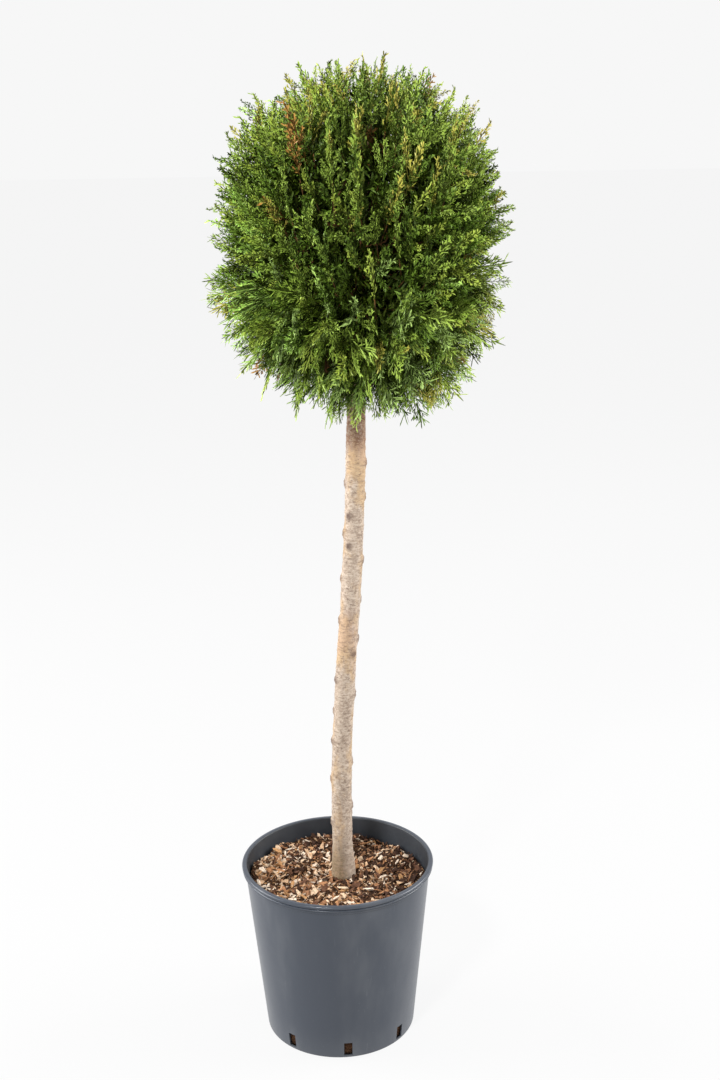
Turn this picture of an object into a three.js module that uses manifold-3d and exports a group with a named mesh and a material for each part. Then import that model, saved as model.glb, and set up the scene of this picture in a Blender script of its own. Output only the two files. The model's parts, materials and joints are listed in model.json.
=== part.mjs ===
// A clipped conifer standard, or lollipop topiary, in a round nursery pot.
// A slender clear stem stands in bark compost and carries an egg-shaped crown. The crown is a
// cap and two rings of foliage masses round an open core, where short boughs leave the stem.
// Millimetres, +Z up. The origin is the centre of the pot's flat underside, and -Y is the front.
import * as THREE from "three";
import { mergeVertices } from "three/addons/utils/BufferGeometryUtils.js";
import Module from "manifold-3d";

const wasm = await Module();
wasm.setup();

const CLEARANCE = 0.4; // between pieces that touch
const ROUND = 2 * Math.PI;
const radians = THREE.MathUtils.degToRad;

// ---- driving dimensions ----

const POT = {
  height: 282,
  rimRadius: 150.8,
  wallTopRadius: 145,
  baseRadius: 118.3,
  wall: 2.6,
  floor: 3,
  heel: 3, // radius of the corner between the wall and the underside
  lipHeight: 12,
  sides: 48,
};

const SLOTS = { count: 8, firstAzimuth: -84, width: 13, bottom: 5, height: 23 };

const COMPOST = {
  surface: 250, // at the foot of the stem
  relief: 4,
  flatRadius: 34, // level round the foot
  rings: 6,
  sides: 40,
};

const STEM = {
  foot: new THREE.Vector2(9, 9),
  crownBase: 970, // height where the stem enters the foliage
  tip: 1400,
  lean: 32, // towards +X over the clear stem
  bow: 5,
  sway: 4,
  depthDrift: -7, // towards the front over the clear stem
  baseRadius: 15.8,
  crownRadius: 14.3,
  tipRadius: 4.5,
  flare: 3.4,
  flareHeight: 45,
  sides: 12,
  steps: 22,
};

const CROWN = {
  centre: new THREE.Vector3(54, 3, 1250),
  halfWidth: 202,
  rise: 226, // from the centre to the top
  drop: 256, // from the centre to the hanging skirt
  squareness: 2.35, // 2 is an ellipsoid
  ripple: 0.02,
  cleft: 5, // between neighbouring masses
  softness: 9, // how tightly a mass follows its corners
  detail: 4,
};

// A ring of masses: its height, how far its seeds stand from the crown's axis, how far the inner
// face stands from the stem and leans, and where its boughs leave the stem.
const RINGS = [
  {
    name: "lower",
    height: 1108,
    reach: 112,
    firstAzimuth: -112,
    sides: ["front_left", "front_right", "right", "back_right", "back_left", "left"],
    core: 38,
    coreLean: 9,
    boughFrom: 1018,
    boughStep: 9,
    boughTo: 1098,
    boughRadius: 7.5,
  },
  {
    name: "upper",
    height: 1318,
    reach: 108,
    firstAzimuth: -118,
    sides: ["front_left", "front_right", "right", "back", "left"],
    core: 36,
    coreLean: -6,
    boughFrom: 1160,
    boughStep: 11,
    boughTo: 1288,
    boughRadius: 6.5,
  },
];
const CAP = { name: "top", height: 1426 };
const BOUGH = { sides: 8, steps: 5, sag: 0.12, taper: 0.55 };

// Tufts that stand out of the clipped surface: where they are from the crown's centre, in degrees
// of azimuth and elevation, with their height and their width in degrees.
const TUFTS = [
  { azimuth: 181, elevation: 0, height: 15, width: 12 },
  { azimuth: 181, elevation: -23, height: 18, width: 12 },
  { azimuth: 183, elevation: -51, height: 12, width: 12 },
  { azimuth: 186, elevation: 54, height: 11, width: 12 },
  { azimuth: -1, elevation: 6, height: 17, width: 10 },
  { azimuth: -24, elevation: -67, height: 14, width: 10 },
  { azimuth: -75, elevation: 84, height: 9, width: 10 },
  { azimuth: 62, elevation: 24, height: 12, width: 13 },
  { azimuth: 112, elevation: -16, height: 14, width: 13 },
  { azimuth: 95, elevation: 50, height: 9, width: 11 },
];

// ---- solids and meshes ----

// A closed geometry as a solid that can be cut.
function solidOf(geometry) {
  const bare = geometry.clone();
  bare.deleteAttribute("normal");
  bare.deleteAttribute("uv");
  const merged = mergeVertices(bare, 1e-3);
  return new wasm.Manifold(
    new wasm.Mesh({
      numProp: 3,
      vertProperties: merged.attributes.position.array,
      triVerts: new Uint32Array(merged.index.array),
    }),
  );
}

function geometryOf(solid) {
  const mesh = solid.getMesh();
  return new THREE.BufferGeometry()
    .setAttribute("position", new THREE.BufferAttribute(mesh.vertProperties, 3))
    .setIndex(new THREE.BufferAttribute(mesh.triVerts, 1));
}

// Moves every vertex of a geometry to move(vertex).
function reshape(geometry, move) {
  const places = geometry.getAttribute("position");
  const at = new THREE.Vector3();
  for (let i = 0; i < places.count; i++) {
    const to = move(at.fromBufferAttribute(places, i));
    places.setXYZ(i, to.x, to.y, to.z);
  }
  return geometry;
}

// A profile of [radius, height] pairs turned about the Z axis.
function turned(profile, sides) {
  const points = profile.map(([r, z]) => new THREE.Vector2(r, z));
  return new THREE.LatheGeometry(points, sides).rotateX(Math.PI / 2);
}

function arc(cx, cz, radius, from, to, steps) {
  return Array.from({ length: steps + 1 }, (_, i) => {
    const angle = radians(from + ((to - from) * i) / steps);
    return [cx + radius * Math.cos(angle), cz + radius * Math.sin(angle)];
  });
}

// One round limb along a curve, with radiusAt(t) from t = 0 at its start to 1 at its end.
function limb(curve, radiusAt, sides, steps) {
  const across = new THREE.Vector3();
  const deep = new THREE.Vector3();
  return reshape(new THREE.CylinderGeometry(1, 1, 1, sides, steps), (v) => {
    const t = THREE.MathUtils.clamp(v.y + 0.5, 0, 1);
    const along = curve.getTangent(t);
    deep.crossVectors(new THREE.Vector3(1, 0, 0), along).normalize();
    across.crossVectors(along, deep);
    return curve
      .getPoint(t)
      .addScaledVector(across, v.x * radiusAt(t))
      .addScaledVector(deep, v.z * radiusAt(t));
  });
}

// ---- pot ----

function potInnerRadius(z) {
  const share = (z - POT.floor) / (POT.height - POT.lipHeight - POT.floor);
  return THREE.MathUtils.lerp(POT.baseRadius, POT.wallTopRadius, share) - POT.wall;
}

function makePot() {
  const { height, rimRadius, wallTopRadius, baseRadius, wall, floor, heel } = POT;
  const lipFoot = height - POT.lipHeight;
  const lipRound = 3.5;
  const body = solidOf(
    turned(
      [
        [0, 0],
        ...arc(baseRadius - heel, heel, heel, -90, 0, 2),
        [wallTopRadius, lipFoot],
        [rimRadius - 1.2, lipFoot],
        ...arc(rimRadius - lipRound, height - lipRound, lipRound, 0, 90, 3),
        [wallTopRadius - wall + 1.5, height],
        [wallTopRadius - wall, height - 1.5],
        [potInnerRadius(lipFoot), lipFoot],
        [potInnerRadius(floor), floor],
        [0, floor],
      ],
      POT.sides,
    ),
  );
  const depth = 6 * wall;
  const slots = Array.from({ length: SLOTS.count }, (_, i) => {
    const azimuth = radians(SLOTS.firstAzimuth) + (ROUND * i) / SLOTS.count;
    return solidOf(
      new THREE.BoxGeometry(depth, SLOTS.width, SLOTS.height)
        .translate(baseRadius, 0, SLOTS.bottom + SLOTS.height / 2)
        .rotateZ(azimuth),
    );
  });
  return geometryOf(slots.reduce((pot, slot) => pot.subtract(slot), body));
}

// ---- compost ----

// Height of the bark surface above its level at the foot of the stem.
function compostRelief(x, y) {
  const fromFoot = Math.hypot(x - STEM.foot.x, y - STEM.foot.y);
  const rise = THREE.MathUtils.smoothstep(fromFoot, COMPOST.flatRadius, 3 * COMPOST.flatRadius);
  const heaps = Math.sin(x / 21 + 1) * Math.cos(y / 17) + 0.5 * Math.sin(x / 9 - y / 11);
  return rise * (COMPOST.relief * heaps - 0.03 * x + COMPOST.relief);
}

function makeCompost() {
  const bottom = POT.floor + CLEARANCE;
  const edge = (z) => potInnerRadius(z) - CLEARANCE - 0.4; // the pot's flats stand inside its circle
  const top = Array.from({ length: COMPOST.rings }, (_, i) => [
    (edge(COMPOST.surface) * (COMPOST.rings - i - 1)) / (COMPOST.rings - 1),
    COMPOST.surface,
  ]);
  const shape = turned([[0, bottom], [edge(bottom), bottom], ...top], COMPOST.sides);
  return reshape(shape, (v) => {
    if (v.z > bottom + 1) v.z += compostRelief(v.x, v.y);
    return v;
  });
}

// ---- stem ----

// The stem's centre at a height: it leans, with a long bow and a slight S.
function stemAt(z) {
  const share = (z - COMPOST.surface) / (STEM.crownBase - COMPOST.surface);
  const bend = STEM.bow * Math.sin(Math.PI * share) + STEM.sway * Math.sin(ROUND * share);
  return new THREE.Vector3(
    STEM.foot.x + STEM.lean * share - bend,
    STEM.foot.y + STEM.depthDrift * share,
    z,
  );
}

function stemRadius(z) {
  const { lerp, smoothstep } = THREE.MathUtils;
  const above = z - COMPOST.surface;
  const clear = lerp(STEM.baseRadius, STEM.crownRadius, above / (STEM.crownBase - COMPOST.surface));
  const inCrown = Math.max(0, (z - STEM.crownBase) / (STEM.tip - STEM.crownBase));
  const flare = STEM.flare * (1 - smoothstep(above, 0, STEM.flareHeight));
  return lerp(clear, STEM.tipRadius, inCrown) + flare;
}

// The stem stands in level rings on its flat foot. Extra makes it stouter, to cut others with.
function makeStem(extra = 0) {
  return reshape(new THREE.CylinderGeometry(1, 1, 1, STEM.sides, STEM.steps), (v) => {
    const z = THREE.MathUtils.lerp(COMPOST.surface + CLEARANCE, STEM.tip, v.y + 0.5);
    const level = new THREE.Vector3(v.x, -v.z, 0);
    return stemAt(z).addScaledVector(level, stemRadius(z) + extra);
  });
}

// ---- crown ----

// Seeds of the masses, one in each direction of each ring and one in the cap.
function seeds() {
  const list = RINGS.flatMap((ring) =>
    ring.sides.map((side, i) => {
      const azimuth = radians(ring.firstAzimuth) + (ROUND * i) / ring.sides.length;
      const out = new THREE.Vector3(Math.cos(azimuth), Math.sin(azimuth), 0);
      const axis = new THREE.Vector3(CROWN.centre.x, CROWN.centre.y, ring.height);
      return { name: `${ring.name}_${side}`, ring, i, out, at: axis.addScaledVector(out, ring.reach) };
    }),
  );
  list.push({ name: CAP.name, at: stemAt(CAP.height) });
  return list;
}

function direction(azimuth, elevation) {
  const level = Math.cos(radians(elevation));
  return new THREE.Vector3(
    level * Math.cos(radians(azimuth)),
    level * Math.sin(radians(azimuth)),
    Math.sin(radians(elevation)),
  );
}

// The crown's radius from its centre in a unit direction: a squarish egg with ripples and tufts.
function crownRadius(u) {
  const level = Math.hypot(u.x, u.y) / CROWN.halfWidth;
  const upright = Math.abs(u.z) / (u.z > 0 ? CROWN.rise : CROWN.drop);
  const p = CROWN.squareness;
  const egg = (level ** p + upright ** p) ** (-1 / p);
  const ripple =
    Math.sin(7 * u.x + 5 * u.z + 1) * Math.cos(6 * u.y - 4 * u.z) + 0.5 * Math.sin(11 * u.y + 9 * u.z);
  const tufts = TUFTS.reduce((sum, { azimuth, elevation, height, width }) => {
    const off = THREE.MathUtils.radToDeg(u.angleTo(direction(azimuth, elevation))) / width;
    return sum + height * Math.exp(-off * off);
  }, 0);
  return egg * (1 + CROWN.ripple * ripple) + tufts;
}

// How far it is from a seed to the crown's surface in a direction, by halving.
function toSurface(seed, u) {
  let near = 0;
  let far = 2 * CROWN.rise;
  const from = new THREE.Vector3();
  for (let i = 0; i < 22; i++) {
    const middle = (near + far) / 2;
    from.copy(seed).addScaledVector(u, middle).sub(CROWN.centre);
    const length = from.length();
    if (length < 1e-6 || length < crownRadius(from.divideScalar(length))) near = middle;
    else far = middle;
  }
  return near;
}

// The flat faces that bound a mass: halfway to each neighbour, and the wall of the core.
function facesOf(seed, all) {
  const faces = all
    .filter((other) => other !== seed)
    .map((other) => {
      const normal = other.at.clone().sub(seed.at);
      const distance = normal.length() / 2 - CROWN.cleft / 2;
      return { normal: normal.normalize(), distance };
    });
  if (seed.ring) {
    const lean = radians(seed.ring.coreLean);
    const normal = seed.out.clone().multiplyScalar(-Math.cos(lean));
    normal.z = Math.sin(lean);
    const stem = stemAt(seed.at.z);
    const toCore = stem.addScaledVector(seed.out, seed.ring.core).sub(seed.at);
    faces.push({ normal, distance: toCore.dot(normal) });
  }
  return faces;
}

// A mass reaches from its seed to its faces and the crown's surface, with its corners rounded off.
function makeMass(seed, all, extra = 0) {
  const faces = facesOf(seed, all);
  const p = CROWN.softness;
  const u = new THREE.Vector3();
  return reshape(new THREE.IcosahedronGeometry(1, CROWN.detail), (v) => {
    u.copy(v).normalize();
    let sum = toSurface(seed.at, u) ** -p;
    for (const { normal, distance } of faces) {
      const towards = u.dot(normal);
      if (towards > 0) sum += (towards / distance) ** p;
    }
    return v.copy(seed.at).addScaledVector(u, sum ** (-1 / p) + extra);
  });
}

// A bough rises from the stem in an arc and ends where it meets its mass.
function makeBough(seed, all) {
  const { ring } = seed;
  const start = stemAt(ring.boughFrom + ring.boughStep * ((seed.i * 2) % 5));
  const end = seed.at.clone().setZ(ring.boughTo);
  const elbow = start.clone().lerp(end, 0.4);
  elbow.z -= BOUGH.sag * start.distanceTo(end);
  const curve = new THREE.QuadraticBezierCurve3(start, elbow, end);
  const radius = (t) => ring.boughRadius * (1 - BOUGH.taper * t);
  const whole = solidOf(limb(curve, radius, BOUGH.sides, BOUGH.steps));
  const stem = solidOf(makeStem(CLEARANCE));
  return geometryOf(whole.subtract(stem).subtract(solidOf(makeMass(seed, all, 2 * CLEARANCE))));
}

function makeCap(seed, all) {
  return geometryOf(solidOf(makeMass(seed, all)).subtract(solidOf(makeStem(2 * CLEARANCE))));
}

// ---- materials and assembly ----

const plastic = new THREE.MeshStandardMaterial({ color: 0x33373c, roughness: 0.45, metalness: 0 });
const bark = new THREE.MeshStandardMaterial({ color: 0xa88f78, roughness: 0.85, metalness: 0 });
const chips = new THREE.MeshStandardMaterial({ color: 0x8a5f3c, roughness: 0.95, metalness: 0 });
const leaf = new THREE.MeshStandardMaterial({ color: 0x4a6b22, roughness: 0.7, metalness: 0 });

function named(name, geometry, material) {
  const mesh = new THREE.Mesh(geometry, material);
  mesh.name = name;
  return mesh;
}

const plant = new THREE.Group();
plant.add(named("pot", makePot(), plastic));
plant.add(named("compost", makeCompost(), chips));
plant.add(named("stem", makeStem(), bark));

const all = seeds();
for (const seed of all) {
  const made = seed.ring ? makeMass(seed, all) : makeCap(seed, all);
  plant.add(named(`foliage_${seed.name}`, made, leaf));
  if (seed.ring) plant.add(named(`bough_${seed.name}`, makeBough(seed, all), bark));
}

export default plant;
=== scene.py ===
# %% [markdown]
# # A potted conifer standard
# A nursery grows this plant by rubbing the shoots off a young stem and clipping what is left at
# the top into an egg. The lesson builds it from the ground up: pot, compost, stem, limbs, and
# last the flat leaf sprays, which are most of what the eye sees.
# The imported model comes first. It holds every piece's true size and place, so the pieces below
# read their positions from it and keep inside its box.

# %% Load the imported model
import json
import random
from math import asin, atan2, cos, degrees, exp, hypot, pi, radians, remainder, sin

import bmesh
import bpy
import numpy as np
from mathutils import Matrix, Vector, noise
from mathutils.bvhtree import BVHTree
from numpy.linalg import norm

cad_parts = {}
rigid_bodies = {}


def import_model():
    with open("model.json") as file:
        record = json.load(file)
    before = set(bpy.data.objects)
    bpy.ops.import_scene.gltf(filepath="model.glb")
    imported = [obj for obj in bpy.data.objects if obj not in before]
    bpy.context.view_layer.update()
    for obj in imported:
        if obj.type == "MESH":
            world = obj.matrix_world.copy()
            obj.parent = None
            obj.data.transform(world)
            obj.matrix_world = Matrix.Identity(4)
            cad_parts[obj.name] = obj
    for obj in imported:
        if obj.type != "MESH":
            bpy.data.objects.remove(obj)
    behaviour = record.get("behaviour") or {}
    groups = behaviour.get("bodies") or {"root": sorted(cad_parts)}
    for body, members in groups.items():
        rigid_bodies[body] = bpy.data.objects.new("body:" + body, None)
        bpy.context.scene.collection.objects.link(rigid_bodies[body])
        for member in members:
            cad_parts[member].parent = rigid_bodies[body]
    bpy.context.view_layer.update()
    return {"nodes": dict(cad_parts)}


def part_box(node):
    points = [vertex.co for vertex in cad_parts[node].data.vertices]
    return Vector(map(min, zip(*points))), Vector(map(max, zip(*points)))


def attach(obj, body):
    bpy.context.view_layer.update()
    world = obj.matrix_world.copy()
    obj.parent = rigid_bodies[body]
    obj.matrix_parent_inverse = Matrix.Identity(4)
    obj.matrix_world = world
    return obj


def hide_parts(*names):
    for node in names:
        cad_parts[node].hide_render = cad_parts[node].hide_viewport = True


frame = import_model()

# %% [markdown]
# ## Reading the model
# Each solid of the model is a plain mesh of triangles. Two helpers turn a solid into arrays, and
# from them come the stem's centre line, level by level, and the middle of the crown.

# %% Read corners, the stem's line and the crown
MM = 0.001
FULL_TURN = 2 * pi


def corners_of(node):
    """The corner points of a solid, and its triangles as rows of three corner numbers."""
    mesh = frame["nodes"][node].data
    mesh.calc_loop_triangles()
    points = np.empty(len(mesh.vertices) * 3)
    mesh.vertices.foreach_get("co", points)
    faces = np.empty(len(mesh.loop_triangles) * 3, dtype=int)
    mesh.loop_triangles.foreach_get("vertices", faces)
    return points.reshape(-1, 3), faces.reshape(-1, 3)


def read_rings(node):
    """Height, centre and radius of each level ring of an upright limb."""
    points = np.unique(np.round(corners_of(node)[0], 5), axis=0)
    rings = []
    for height in np.unique(np.round(points[:, 2], 4)):
        ring = points[np.abs(points[:, 2] - height) < 0.1 * MM]
        low, high = ring.min(0), ring.max(0)
        centre = (low + high) / 2
        radius = norm(ring[:, :2] - centre[:2], axis=1).max()
        rings.append([height, centre[0], centre[1], radius])
    return np.array(rings).T


stem_rings = read_rings("stem")


def stem_at(height):
    """The centre of the stem at a height."""
    across = [np.interp(height, stem_rings[0], stem_rings[k]) for k in (1, 2)]
    return np.array([*across, height])


def stem_radius(height):
    return np.interp(height, stem_rings[0], stem_rings[3])


nodes = sorted(frame["nodes"])
masses = [name for name in nodes if name.startswith("foliage_")]
boughs = [name for name in nodes if name.startswith("bough_")]
crown_low = np.min([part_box(name)[0] for name in masses], axis=0)
crown_high = np.max([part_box(name)[1] for name in masses], axis=0)
crown_centre = (crown_low + crown_high) / 2
crown_half = (crown_high - crown_low) / 2
print(len(masses), "masses,", len(boughs), "boughs, crown half sizes", crown_half.round(3))

# %% [markdown]
# ## Camera
# A standing person looks down a little on a plant this tall, so the rim of the pot shows as an
# open ellipse. The lens is a normal one, and the frame is tilted by about a degree.

# %% Place the camera
CAMERA_PLACE = Vector((0.0440, -2.1369, 1.4289))
CAMERA_DOWN = radians(16.248)
CAMERA_TILT = radians(0.977)
LENS, FILM_WIDTH = 50.0, 36.0


def show(name, data):
    """A new object in the scene, at the origin."""
    thing = bpy.data.objects.new(name, data)
    bpy.context.scene.collection.objects.link(thing)
    return thing


lens = bpy.data.cameras.new("camera")
lens.lens = LENS
lens.sensor_width = FILM_WIDTH
camera = show("camera", lens)
aim = Matrix.Rotation(pi / 2 - CAMERA_DOWN, 4, "X") @ Matrix.Rotation(-CAMERA_TILT, 4, "Z")
camera.matrix_world = Matrix.Translation(CAMERA_PLACE) @ aim
bpy.context.scene.camera = camera
print("camera", camera.location.to_tuple(3), "lens", LENS)

# %% [markdown]
# ## Wiring helpers
# A material and a Geometry Nodes tree are both made of nodes and links. One class adds a node of
# any type with its settings and inputs. What it returns can stand in a sum like a number, so a
# pattern is written as an expression and each operator adds its own Math node.


# %% Write sums on sockets
def sum_method(operation, reflected=False):
    """A method that adds a Math node. Reflected, its two terms change places."""

    def method(self, other):
        terms = [other, self] if reflected else [self, other]
        return self.wiring.add("ShaderNodeMath", {"operation": operation}, terms)

    return method


class Reading:
    """The output of a node."""

    __add__, __radd__ = sum_method("ADD"), sum_method("ADD", True)
    __sub__, __rsub__ = sum_method("SUBTRACT"), sum_method("SUBTRACT", True)
    __mul__, __rmul__ = sum_method("MULTIPLY"), sum_method("MULTIPLY", True)
    __pow__ = sum_method("POWER")

    def __init__(self, wiring, socket):
        self.wiring = wiring
        self.socket = socket


class Wiring:
    """Nodes and links in one tree."""

    def __init__(self, tree):
        self.tree = tree

    def connect(self, value, socket):
        """Links a reading to a socket, or sets the socket to a plain value."""
        if isinstance(value, Reading):
            self.tree.links.new(value.socket, socket)
        else:
            socket.default_value = value

    def add(self, kind, settings=None, inputs=None, output=0):
        """A new node: its settings first, then its inputs by name or in order."""
        node = self.tree.nodes.new(kind)
        for name, value in (settings or {}).items():
            if name == "stops":
                self._set_stops(node.color_ramp, value)
            else:
                setattr(node, name, value)
        pairs = inputs.items() if isinstance(inputs, dict) else enumerate(inputs or [])
        for name, value in pairs:
            self.connect(value, node.inputs[name])
        return Reading(self, node.outputs[output])

    def part(self, vector, letter):
        """One coordinate of a vector."""
        return self.add("ShaderNodeSeparateXYZ", inputs=[vector], output=letter)

    def step(self, value, low, high):
        """0 below low, 1 above high and a smooth rise between."""
        inputs = {"Value": value, "From Min": low, "From Max": high}
        return self.add("ShaderNodeMapRange", {"interpolation_type": "SMOOTHSTEP"}, inputs)

    @staticmethod
    def _set_stops(ramp, stops):
        for place, colour in stops[len(ramp.elements):]:
            ramp.elements.new(place)
        for element, (place, colour) in zip(ramp.elements, stops):
            element.position = place
            element.color = (*colour, 1)


# %% [markdown]
# A finish is a material with one Principled shader. Patterns read Object coordinates in metres,
# so a scale of 1000 gives details of about a millimetre.


# %% Start a finish
MIX_A, MIX_B, MIX_COLOUR = 6, 7, 2


class Finish(Wiring):
    """A material in the making."""

    def __init__(self, name, colour, roughness):
        self.material = bpy.data.materials.new(name)
        self.material.use_nodes = True
        super().__init__(self.material.node_tree)
        self.shader = self.tree.nodes["Principled BSDF"]
        self.set("Base Color", (*colour, 1))
        self.set("Roughness", roughness)
        self.material.diffuse_color = (*colour, 1)

    def set(self, name, value):
        self.connect(value, self.shader.inputs[name])

    def place(self, scale=(1, 1, 1)):
        """Object coordinates, stretched."""
        at = self.add("ShaderNodeTexCoord", output="Object")
        return self.add("ShaderNodeMapping", inputs={"Vector": at, "Scale": scale})

    def height(self):
        """Height above the floor, in metres."""
        return self.part(self.add("ShaderNodeTexCoord", output="Object"), "Z")

    def grain(self, scale, detail=4, roughness=0.6, stretch=(1, 1, 1)):
        """Noise from 0 to 1."""
        inputs = {"Vector": self.place(stretch), "Scale": scale, "Detail": detail}
        return self.add("ShaderNodeTexNoise", inputs=inputs | {"Roughness": roughness})

    def ramp(self, value, stops):
        return self.add("ShaderNodeValToRGB", {"stops": stops}, [value])

    def blend(self, share, first, second):
        """first where share is 0, second where it is 1."""
        colours = [value if isinstance(value, Reading) else (*value, 1) for value in (first, second)]
        inputs = {0: share, MIX_A: colours[0], MIX_B: colours[1]}
        return self.add("ShaderNodeMix", {"data_type": "RGBA"}, inputs, MIX_COLOUR)

    def relief(self, height, depth):
        """A bump of that many metres."""
        inputs = {"Height": height, "Distance": depth, "Strength": 1.0}
        self.set("Normal", self.add("ShaderNodeBump", inputs=inputs))


# %% [markdown]
# ## From arrays to pieces
# Most pieces are worked out as arrays of points and faces. A grid helper gives the faces of a
# skin that is closed round, and the maker of a piece keeps all pieces at the origin.


# %% Make a piece
def turned(vector, axis, angle):
    """A vector turned about an axis."""
    return np.array(Matrix.Rotation(angle, 3, Vector(axis)) @ Vector(vector))


def make_piece(name, points, faces, finishes, smooth=True):
    """A mesh object at the origin."""
    mesh = bpy.data.meshes.new(name)
    mesh.from_pydata(np.asarray(points).tolist(), [], faces)
    for finish in finishes:
        mesh.materials.append(finish.material)
    if smooth:
        mesh.shade_smooth()
    return show(name, mesh)


def level_ring(radius, height, sides, rough=None):
    """Points round the pot's axis, at one height."""
    turns = np.arange(sides) * FULL_TURN / sides
    radii = [radius + (rough(angle, height) if rough else 0.0) for angle in turns]
    return [(r * cos(a), r * sin(a), height) for r, a in zip(radii, turns)]


def skin_faces(rings, sides, first=0):
    """Four-sided faces between rings of points, each ring closed on itself."""
    faces = []
    for ring in range(rings - 1):
        for side in range(sides):
            low = first + ring * sides
            turn = (side + 1) % sides
            faces.append((low + side, low + turn, low + sides + turn, low + sides + side))
    return faces


def capped_faces(rings, sides, first=0):
    """The same, with its two ends closed."""
    faces = skin_faces(rings, sides, first)
    faces.append(tuple(range(first + sides - 1, first - 1, -1)))
    last = first + (rings - 1) * sides
    faces.append(tuple(range(last, last + sides)))
    return faces


def store(mesh, name, kind, values, domain="POINT"):
    """Keeps a value for each point or face of a mesh."""
    field = "vector" if kind == "FLOAT_VECTOR" else "value"
    mesh.attributes.new(name, kind, domain).data.foreach_set(field, values)


def settle(piece):
    """The piece with its modifiers made plain mesh."""
    graph = bpy.context.evaluated_depsgraph_get()
    mesh = bpy.data.meshes.new_from_object(piece.evaluated_get(graph))
    piece.modifiers.clear()
    old = piece.data
    piece.data = mesh
    mesh.name = piece.name
    bpy.data.meshes.remove(old)
    return piece


# %% [markdown]
# ## Studio
# The plant stands on a white floor, in a white room that is dim only high up in front. The floor
# is one large sheet, so no horizon shows behind the crown from any side.

# %% Light the studio
ROOM_BACK, ROOM_FRONT = 0.93, 0.22
# Where the dimming starts and ends, to the front and upwards.
DIM_FRONT, DIM_HIGH = (-0.6, 0.5), (0.28, 0.5)
FLOOR_SIZE, FLOOR_GLOW, FLOOR_PAPER = 60.0, 0.875, 0.06
# Each lamp's place, the point it faces, its size in metres and its watts.
LAMPS = {
    "lamp_key": ((-0.9, -2.2, 2.6), (0.05, 0, 1.1), 0.36, 78.0),
    "lamp_right": ((3.4, 0.5, 1.9), (0.05, 0, 0.8), 2.4, 170.0),
    "lamp_left": ((-3.4, 0.5, 1.9), (0.05, 0, 0.8), 2.4, 170.0),
}

bpy.context.scene.view_settings.view_transform = "Standard"
world = bpy.data.worlds.new("studio_room")
world.use_nodes = True
room = Wiring(world.node_tree)
look = room.add("ShaderNodeTexCoord", output="Generated")
in_front = room.step(room.part(look, "Y") * -1.0, *DIM_FRONT)
high_up = room.step(room.part(look, "Z"), *DIM_HIGH)
room_light = ROOM_BACK - in_front * high_up * (ROOM_BACK - ROOM_FRONT)
sky = room.tree.nodes["Background"]
room.connect(room_light, sky.inputs["Color"])
bpy.context.scene.world = world

paper = Finish("studio_paper", (FLOOR_PAPER, FLOOR_PAPER, FLOOR_PAPER), 0.9)
paper.set("Roughness", 0.85 + 0.1 * paper.grain(8.0))
paper.set("Specular IOR Level", 0.0)
paper.set("Emission Color", (1, 1, 1, 1))
paper.set("Emission Strength", FLOOR_GLOW)
floor_corners = np.array([(-1, -1, 0), (1, -1, 0), (1, 1, 0), (-1, 1, 0)]) * FLOOR_SIZE / 2
floor = make_piece("floor", floor_corners, [(0, 1, 2, 3)], [paper], smooth=False)


def hang_lamp(name, place, target, size, watts):
    """A square soft lamp that faces a point."""
    lamp = bpy.data.lights.new(name, "AREA")
    lamp.shape = "SQUARE"
    lamp.size = size
    lamp.energy = watts
    holder = show(name, lamp)
    holder.location = place
    holder.rotation_euler = (Vector(place) - Vector(target)).to_track_quat("Z", "Y").to_euler()
    holder.visible_camera = False


for name, setting in LAMPS.items():
    hang_lamp(name, *setting)
print(len(LAMPS), "lamps in a room from", ROOM_FRONT, "to", ROOM_BACK)

# %% [markdown]
# ## Pot
# A nursery pot is blown or moulded from thin black plastic: a tapered wall, a rolled rim with a
# narrow band under it, a rounded heel and drain slots round the foot. It is a turned shape, so
# half its outline is written as radii and heights and carried round. The slots are then cut
# with boxes, all in one Boolean.

# %% Mix the pot's plastic
plastic = Finish("pot_plastic", (0.036, 0.041, 0.049), 0.4)
dust = plastic.step(plastic.grain(9.0, stretch=(1, 1, 0.35)), 0.42, 0.72)
scuffs = plastic.step(plastic.grain(160.0, 2, stretch=(1, 1, 0.12)), 0.66, 0.78)
specks = plastic.step(plastic.grain(420.0, 1), 0.76, 0.8)
foot = 1 - plastic.step(plastic.height(), 0.0, 0.07)
film = plastic.step(dust * 0.5 + foot * 0.35 + scuffs * 0.25 + specks * 0.8, 0.0, 1.2)
plastic.set("Base Color", plastic.blend(film, (0.038, 0.046, 0.062), (0.115, 0.123, 0.135)))
plastic.set("Roughness", 0.26 + 0.22 * film + 0.08 * plastic.grain(60.0))
plastic.relief(plastic.grain(900.0, 2) + 2 * plastic.grain(40.0, 2), 0.08 * MM)

# The inside is darker than the outside and has no dust: partly damp plastic that is seldom wiped, partly
# painted shade of the pot's inside.
damp_shaded_plastic = Finish("pot_plastic_inside", (0.012, 0.015, 0.02), 0.5)
damp_shaded_plastic.set("Roughness", 0.42 + 0.2 * damp_shaded_plastic.grain(60.0))
wet = damp_shaded_plastic.grain(40.0, 4)
damp_shaded_plastic.set("Base Color", damp_shaded_plastic.blend(wet, (0.008, 0.01, 0.014), (0.03, 0.035, 0.042)))
damp_shaded_plastic.relief(damp_shaded_plastic.grain(900.0, 2), 0.08 * MM)
print("finishes", plastic.material.name, damp_shaded_plastic.material.name)

# %% Turn the pot
POT_SIDES = 180
# The rim's roll, the drops to the foot of its lip and of the band, and how far in the neck is.
RIM_ROLL, LIP_DROP, BAND_DROP, NECK_IN = 2.8 * MM, 9.5 * MM, 5.0 * MM, 5.8 * MM
WALL, HEEL, POT_FLOOR = 2.4 * MM, 3.2 * MM, 3 * MM
# Rings of the pot's flat underside and floor.
HUB, MIDWAY = 0.03, 0.09

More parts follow.
